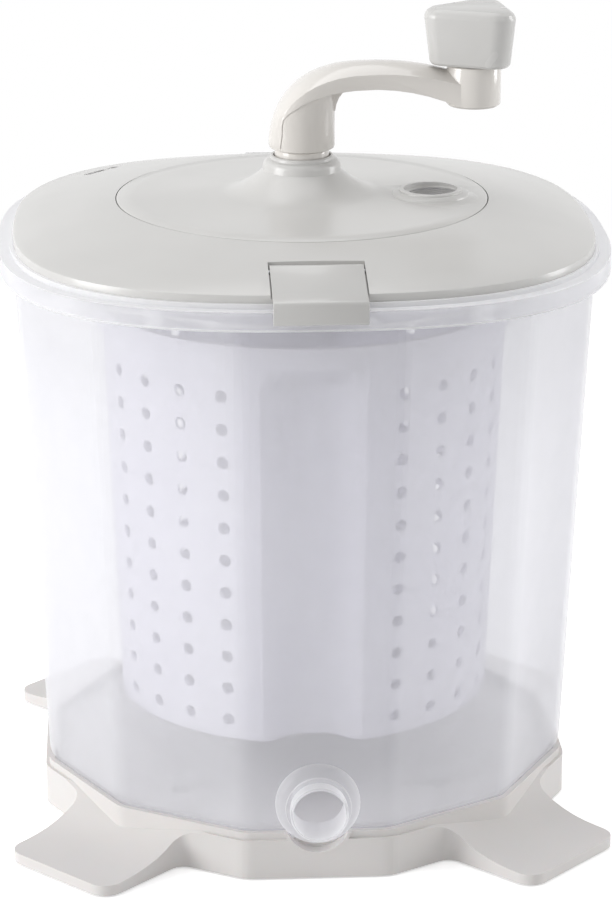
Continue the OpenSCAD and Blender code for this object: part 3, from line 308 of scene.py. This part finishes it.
# A node group that shades smooth everywhere but across edges sharper than the angle
def smoothUnder(piece, degrees):
    key = f"smoothUnder{degrees}"
    group = bpy.data.node_groups.get(key)
    if group is None:
        group = bpy.data.node_groups.new(key, "GeometryNodeTree")
        for side in ("INPUT", "OUTPUT"):
            group.interface.new_socket("Geometry", in_out=side, socket_type="NodeSocketGeometry")
        source = addNode(group, "NodeGroupInput")
        angle = addNode(group, "GeometryNodeInputMeshEdgeAngle")
        soft = addNode(group, "FunctionNodeCompare", {"B": math.radians(degrees)},
                       {"A": angle.outputs["Unsigned Angle"]}, operation="LESS_EQUAL", data_type="FLOAT")
        faces = addNode(group, "GeometryNodeSetShadeSmooth", links={"Geometry": source.outputs[0]})
        edges = addNode(group, "GeometryNodeSetShadeSmooth", domain="EDGE",
                        links={"Geometry": faces.outputs[0], "Shade Smooth": soft.outputs["Result"]})
        addNode(group, "NodeGroupOutput", links={"Geometry": edges.outputs[0]})
    piece.modifiers.new("smoothShade", "NODES").node_group = group


for name, materialName in finishes.items():
    finishNode(name, materialName)
print("CAD nodes finished")


# Pieces finer than the CAD solids
def addPiece(name, mesh, body, materialName):
    piece = bpy.data.objects.new(name, mesh)
    bpy.context.scene.collection.objects.link(piece)
    mesh.materials.append(materials[materialName])
    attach(piece, body)
    smoothUnder(piece, edgeRules["addedSmoothUnder"])
    return piece


# A closed skin over rings that each have the same number of points
def ringLoft(rings):
    bm = bmesh.new()
    loops = [[bm.verts.new(point) for point in ring] for ring in rings]
    count = len(loops[0])
    for low, high in zip(loops, loops[1:]):
        for i in range(count):
            bm.faces.new((low[i], low[(i + 1) % count], high[(i + 1) % count], high[i]))
    bm.faces.new(list(reversed(loops[0])))
    bm.faces.new(loops[-1])
    bmesh.ops.recalc_face_normals(bm, faces=bm.faces)
    mesh = bpy.data.meshes.new("lofted")
    bm.to_mesh(mesh)
    bm.free()
    return mesh


# Coarse thread inside the filling inlet, for a screw-in cap; millimetres
inletThread = {
    "centre": (72.29, -10.16), "radius": 15.26, "depth": 1.0, "pitch": 3.4, "turns": 2.2, "top": 357.6,
    "crestHalf": 0.35, "flankHalf": 1.1, "footHalf": 1.3,
    "foot": 0.3,  # how far the thread's foot stands in the wall
    "leastDepth": 0.02,  # at both ends, where the thread runs out
    "perTurn": 48, "runOutSteps": 6,
}


def threadRing(look):
    steps = int(look["turns"] * look["perTurn"])
    wall, foot = look["radius"], look["radius"] + look["foot"]
    rings = []
    for i in range(steps + 1):
        angle = 2 * math.pi * i / look["perTurn"]
        fade = min(1.0, i / look["runOutSteps"], (steps - i) / look["runOutSteps"])
        crest = wall - max(look["depth"] * fade, look["leastDepth"])
        z = look["top"] - look["pitch"] * i / look["perTurn"]
        section = [(foot, look["footHalf"]), (foot, -look["footHalf"]), (wall, -look["flankHalf"]),
                   (crest, -look["crestHalf"]), (crest, look["crestHalf"]), (wall, look["flankHalf"])]
        rings.append([((look["centre"][0] + r * math.cos(angle)) / 1000,
                       (look["centre"][1] + r * math.sin(angle)) / 1000, (z + h) / 1000) for r, h in section])
    return ringLoft(rings)


addPiece("inletThread", threadRing(inletThread), "hatch", "coverAbs")


# A profile of radius and height, turned about Z; the radius at the axis stays just over nothing
def turned(profile, steps=48):
    angles = [2 * math.pi * k / steps for k in range(steps)]
    return ringLoft([[(max(r, 0.01) * math.cos(a), max(r, 0.01) * math.sin(a), z) for a in angles]
                     for r, z in profile])


# Cross-recess screws, in millimetres; each head's profile runs from its middle to the shank
screwLooks = {
    "base_screws": {
        "head": [(0, 0), (2.2, 0.05), (3.6, 0.3), (4.3, 0.8), (4.4, 1.3), (7.5, 1.45), (7.95, 1.7), (8, 2.3)],
        "shank": 1.95, "length": 11.4, "recess": 2.5,
        "places": [(105, 45 + 90 * k) for k in range(4)], "low": 16.6, "body": "stand"},
    "column_screws": {
        "head": [(0, 0), (2.0, 0.06), (3.2, 0.4), (3.85, 1.0), (4, 1.6), (4, 2.2)],
        "shank": 1.95, "length": 14.2, "recess": 2.1,
        "places": [(25, 30 + 120 * k) for k in range(3)], "low": 59.8, "body": "spinner"},
    "housing_screws": {
        "head": [(0, 0), (1.7, 0.06), (2.8, 0.4), (3.3, 1.0), (3.4, 1.6), (3.4, 2.2)],
        "shank": 1.6, "length": 12.0, "recess": 1.8,
        "places": [(55.76, 90 + 120 * k) for k in range(3)], "low": 338.6, "body": "hatch"},
}
screwThread = {"start": 1.0, "end": 1.6, "pitch": 0.9, "width": 0.7, "depth": 0.28, "steps": 40}
screwTip = {"length": 0.9, "shoulder": 0.9, "point": 0.4}  # the last two are shares of the shank
recessShape = {"wing": 0.22, "depth": 0.5, "taper": 0.5, "above": 1.0, "mouth": 0.05}


def screwBody(look):
    shank, length = look["shank"], look["length"]
    neck = look["head"][-1][1]
    threads = []
    z = neck + screwThread["start"]
    while z < length - screwThread["end"]:
        threads += [(shank, z), (shank - screwThread["depth"], z + screwThread["width"] / 2),
                    (shank, z + screwThread["width"])]
        z += screwThread["pitch"]
    tip = [(shank * screwTip["shoulder"], length - screwTip["length"]), (shank * screwTip["point"], length),
           (0, length)]
    return turned(look["head"] + [(shank, neck)] + threads + tip, screwThread["steps"])


def recessCutter(arm):
    wing, deep, taper = arm * recessShape["wing"], arm * recessShape["depth"], recessShape["taper"]
    outline = [(wing, wing), (arm, wing), (arm, -wing), (wing, -wing), (wing, -arm), (-wing, -arm),
               (-wing, -wing), (-arm, -wing), (-arm, wing), (-wing, wing), (-wing, arm), (wing, arm)]
    return ringLoft([[(x, y, -recessShape["above"]) for x, y in outline],
                     [(x, y, recessShape["mouth"]) for x, y in outline],
                     [(x * taper, y * taper, deep) for x, y in outline]])


def crossScrew(look):
    blank = bpy.data.objects.new("screwBlank", screwBody(look))
    cutter = bpy.data.objects.new("screwCutter", recessCutter(look["recess"]))
    for helper in (blank, cutter):
        bpy.context.scene.collection.objects.link(helper)
    cut = blank.modifiers.new("crossRecess", "BOOLEAN")
    cut.object, cut.operation, cut.solver = cutter, "DIFFERENCE", "EXACT"
    bpy.context.view_layer.update()
    made = bpy.data.meshes.new_from_object(blank.evaluated_get(bpy.context.evaluated_depsgraph_get()))
    for helper in (blank, cutter):
        bpy.data.objects.remove(helper)
    return made


# Copies of a mesh, given in millimetres, at each place: distance from the axis and angle
def copiesAt(name, mesh, places, low):
    bm = bmesh.new()
    for distance, angle in places:
        spin = Matrix.Rotation(math.radians(angle), 4, "Z")
        copy = mesh.copy()
        copy.transform(Matrix.Scale(0.001, 4) @ spin @ Matrix.Translation((distance, 0, low)))
        bm.from_mesh(copy)
        bpy.data.meshes.remove(copy)
    made = bpy.data.meshes.new(name)
    bm.to_mesh(made)
    bm.free()
    bpy.data.meshes.remove(mesh)
    return made


for name, look in screwLooks.items():
    pieceName = name.replace("_", "-") + "-cross"
    screws = addPiece(pieceName, copiesAt(name, crossScrew(look), look["places"], look["low"]), look["body"],
                      "stainless")
    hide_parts(name)
print("screws made")

# Rubber pads with ring grooves in the tread and a push-in stem; millimetres
padLook = {
    "radius": 11.0, "tread": 3.6, "stem": 3.0, "top": 6.2, "place": 178.0,
    "grooves": (3.6, 6.0, 8.4), "grooveDepth": 0.8, "grooveMouth": 0.65, "grooveFloor": 0.45,
    "lowerEdge": [(0.8, 0), (0.2, 0.25), (0, 0.8)],  # in from the rim, and up
    "upperEdge": 0.5, "stemEdge": 0.4,
}


def rubberPad(look):
    profile = [(0, 0)]
    deep, mouth, floor = look["grooveDepth"], look["grooveMouth"], look["grooveFloor"]
    for r in look["grooves"]:
        profile += [(r - mouth, 0), (r - floor, deep), (r + floor, deep), (r + mouth, 0)]
    rim, tread, stem, top = look["radius"], look["tread"], look["stem"], look["top"]
    profile += [(rim - inset, z) for inset, z in look["lowerEdge"]]
    profile += [(rim, tread - look["upperEdge"]), (rim - look["upperEdge"], tread), (stem, tread),
                (stem, top - look["stemEdge"]), (stem - look["stemEdge"], top), (0, top)]
    return turned(profile)


padPlaces = [(padLook["place"], 45 + 90 * k) for k in range(4)]
pads = addPiece("groovedPads", copiesAt("groovedPads", rubberPad(padLook), padPlaces, 0.0), "stand",
                "footRubber")
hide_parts("foot_pads")
print("pads made")

# The studio's places are in metres and its powers in watts
cameraFit = {"place": (-0.1042, -1.7874, 0.7890), "target": (0.0, 0.0, 0.2), "lens": 129.284,
             "shiftX": 0.00456, "shiftY": 0.00356, "near": 0.05, "far": 50}
# Soft boxes at both sides leave the front a little darker; the strip gives upright rounds their highlight
lamps = {
    "leftBank": {"place": (-2.15, -0.6, 0.8), "size": (1.2, 1.6), "power": 39},
    "rightBank": {"place": (2.2, 0.3, 0.8), "size": (0.7, 1.6), "power": 20},
    "rightStrip": {"place": (1.45, -1.75, 1.2), "size": (0.3, 1.6), "power": 5},
    "topBank": {"place": (-0.2, 0.4, 2.3), "size": (1.6, 1.6), "power": 13},
}
lampTarget = (0, 0, 0.22)
skyLight = 0.42
floorLook = {"colour": "#F4F4F4", "lift": 0.46, "fadeFrom": 0.45, "fadeTo": 1.3, "half": 6}


def aim(thing, target):
    thing.rotation_mode = "QUATERNION"
    thing.rotation_quaternion = (Vector(target) - thing.location).to_track_quat("-Z", "Y")


def addCamera(fit):
    camera = bpy.data.objects.new("photoCamera", bpy.data.cameras.new("photoCamera"))
    bpy.context.scene.collection.objects.link(camera)
    camera.location = fit["place"]
    camera.data.lens = fit["lens"]
    camera.data.shift_x, camera.data.shift_y = fit["shiftX"], fit["shiftY"]
    camera.data.clip_start, camera.data.clip_end = fit["near"], fit["far"]
    aim(camera, fit["target"])
    bpy.context.scene.camera = camera


def addLamp(name, lamp):
    light = bpy.data.objects.new(name, bpy.data.lights.new(name, "AREA"))
    bpy.context.scene.collection.objects.link(light)
    light.location = lamp["place"]
    light.data.shape, light.data.energy = "RECTANGLE", lamp["power"]
    light.data.size, light.data.size_y = lamp["size"]
    aim(light, lampTarget)


# One where the camera, a reflection or a clear part looks, and nothing where a surface is lit
def seenShare(tree):
    path = addNode(tree, "ShaderNodeLightPath")
    direct = maths(tree, "ADD", path.outputs["Is Camera Ray"], path.outputs["Is Glossy Ray"], clamp=True)
    return maths(tree, "ADD", direct, path.outputs["Is Transmission Ray"], clamp=True)


# White where it is seen, dimmer as a light
def addWorld():
    world = bpy.data.worlds.new("whiteStudio")
    bpy.context.scene.world = world
    world.use_nodes = True
    tree = world.node_tree
    tree.nodes.clear()
    lit, seen = [addNode(tree, "ShaderNodeBackground", {"Color": (1, 1, 1, 1), "Strength": strength})
                 for strength in (skyLight, 1.0)]
    both = mixShaders(tree, seenShare(tree), lit.outputs[0], seen.outputs[0])
    addNode(tree, "ShaderNodeOutputWorld", links={"Surface": both})


# Paper that keeps the shadow near the machine and turns plain white further out
def floorMaterial(look):
    material, tree = newMaterial("floorPaper")
    seen = seenShare(tree)
    away = addNode(tree, "ShaderNodeVectorMath", operation="LENGTH", links={0: objectPlace(tree)})
    fade = remap(tree, away.outputs["Value"], 0.0, 1.0, look["fadeFrom"], look["fadeTo"],
                 interpolation_type="SMOOTHSTEP")
    paper = addNode(tree, "ShaderNodeBsdfDiffuse", {"Color": linear(look["colour"])})
    glow = maths(tree, "MULTIPLY", seen, look["lift"])
    lift = addNode(tree, "ShaderNodeEmission", links={"Strength": glow})
    near = addNode(tree, "ShaderNodeAddShader", links={0: paper.outputs[0], 1: lift.outputs[0]})
    far = addNode(tree, "ShaderNodeEmission", {"Strength": 1.0})
    whole = mixShaders(tree, maths(tree, "MULTIPLY", fade, seen), near.outputs[0], far.outputs[0])
    addNode(tree, "ShaderNodeOutputMaterial", links={"Surface": whole})
    return material


def addFloor(look):
    half = look["half"]
    mesh = bpy.data.meshes.new("studioFloor")
    corners = [(-half, -half, 0), (half, -half, 0), (half, half, 0), (-half, half, 0)]
    mesh.from_pydata(corners, [], [(0, 1, 2, 3)])
    mesh.materials.append(floorMaterial(look))
    studioFloor = bpy.data.objects.new("studioFloor", mesh)
    bpy.context.scene.collection.objects.link(studioFloor)


addCamera(cameraFit)
for name, lamp in lamps.items():
    addLamp(name, lamp)
addWorld()
addFloor(floorLook)
print("studio set")
